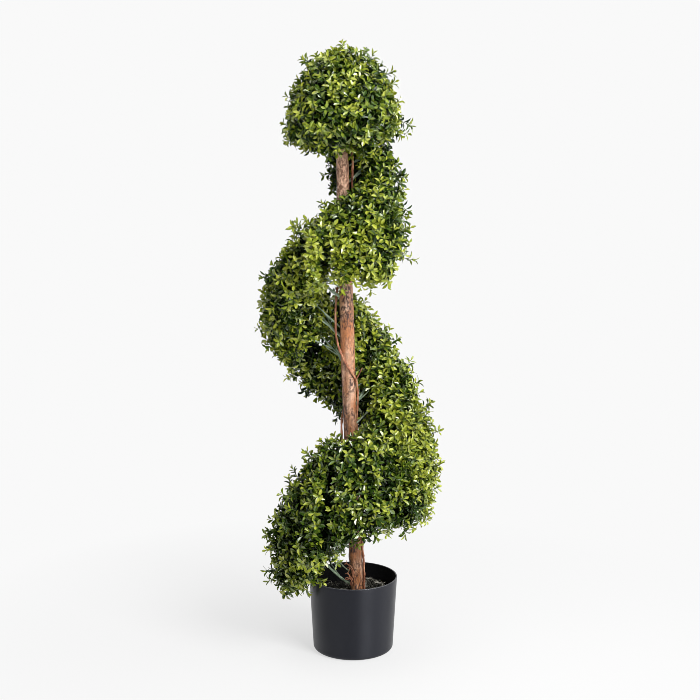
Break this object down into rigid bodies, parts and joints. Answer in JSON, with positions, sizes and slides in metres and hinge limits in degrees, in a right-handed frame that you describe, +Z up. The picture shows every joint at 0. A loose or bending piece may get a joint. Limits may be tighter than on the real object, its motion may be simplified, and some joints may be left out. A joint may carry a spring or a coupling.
{
  "type": "artificial spiral topiary in a pot",
  "caption": "Leafy artificial topiary clipped as a spiral that climbs a wooden trunk to a round top, standing in a round black plastic pot.",
  "frame": {"origin": "centre of the flat underside of the pot", "axes": "+Z up along the height; -Y is the front; azimuths run counter-clockwise from +X seen from above"},
  "size_m": [0.3693, 0.341, 1.2],
  "materials": {
    "pot_plastic": "satin",
    "filler": "matte",
    "bark": "matte",
    "vine": "matte",
    "stem_plastic": "satin",
    "leaves": "satin"
  },
  "bodies": {
    "root": {"pot": "pot_plastic", "filler": "filler", "trunk": "bark", "vine_long": "vine", "vine_left": "vine", "vine_curl": "vine", "bough_01": "stem_plastic", "bough_02": "stem_plastic", "bough_03": "stem_plastic", "bough_04": "stem_plastic", "bough_05": "stem_plastic", "bough_06": "stem_plastic", "bough_07": "stem_plastic", "bough_08": "stem_plastic", "bough_09": "stem_plastic", "bough_10": "stem_plastic", "bough_11": "stem_plastic", "bough_12": "stem_plastic", "bough_13": "stem_plastic", "bough_14": "stem_plastic", "bough_15": "stem_plastic", "bough_16": "stem_plastic", "bough_17": "stem_plastic", "bough_18": "stem_plastic", "bough_19": "stem_plastic", "bough_20": "stem_plastic", "bough_21": "stem_plastic", "bough_22": "stem_plastic", "bough_23": "stem_plastic", "bough_24": "stem_plastic", "foliage_01": "leaves", "foliage_02": "leaves", "foliage_03": "leaves", "foliage_04": "leaves", "foliage_05": "leaves", "foliage_06": "leaves", "foliage_07": "leaves", "foliage_08": "leaves", "foliage_09": "leaves", "foliage_ball": "leaves"}
  },
  "joints": []
}
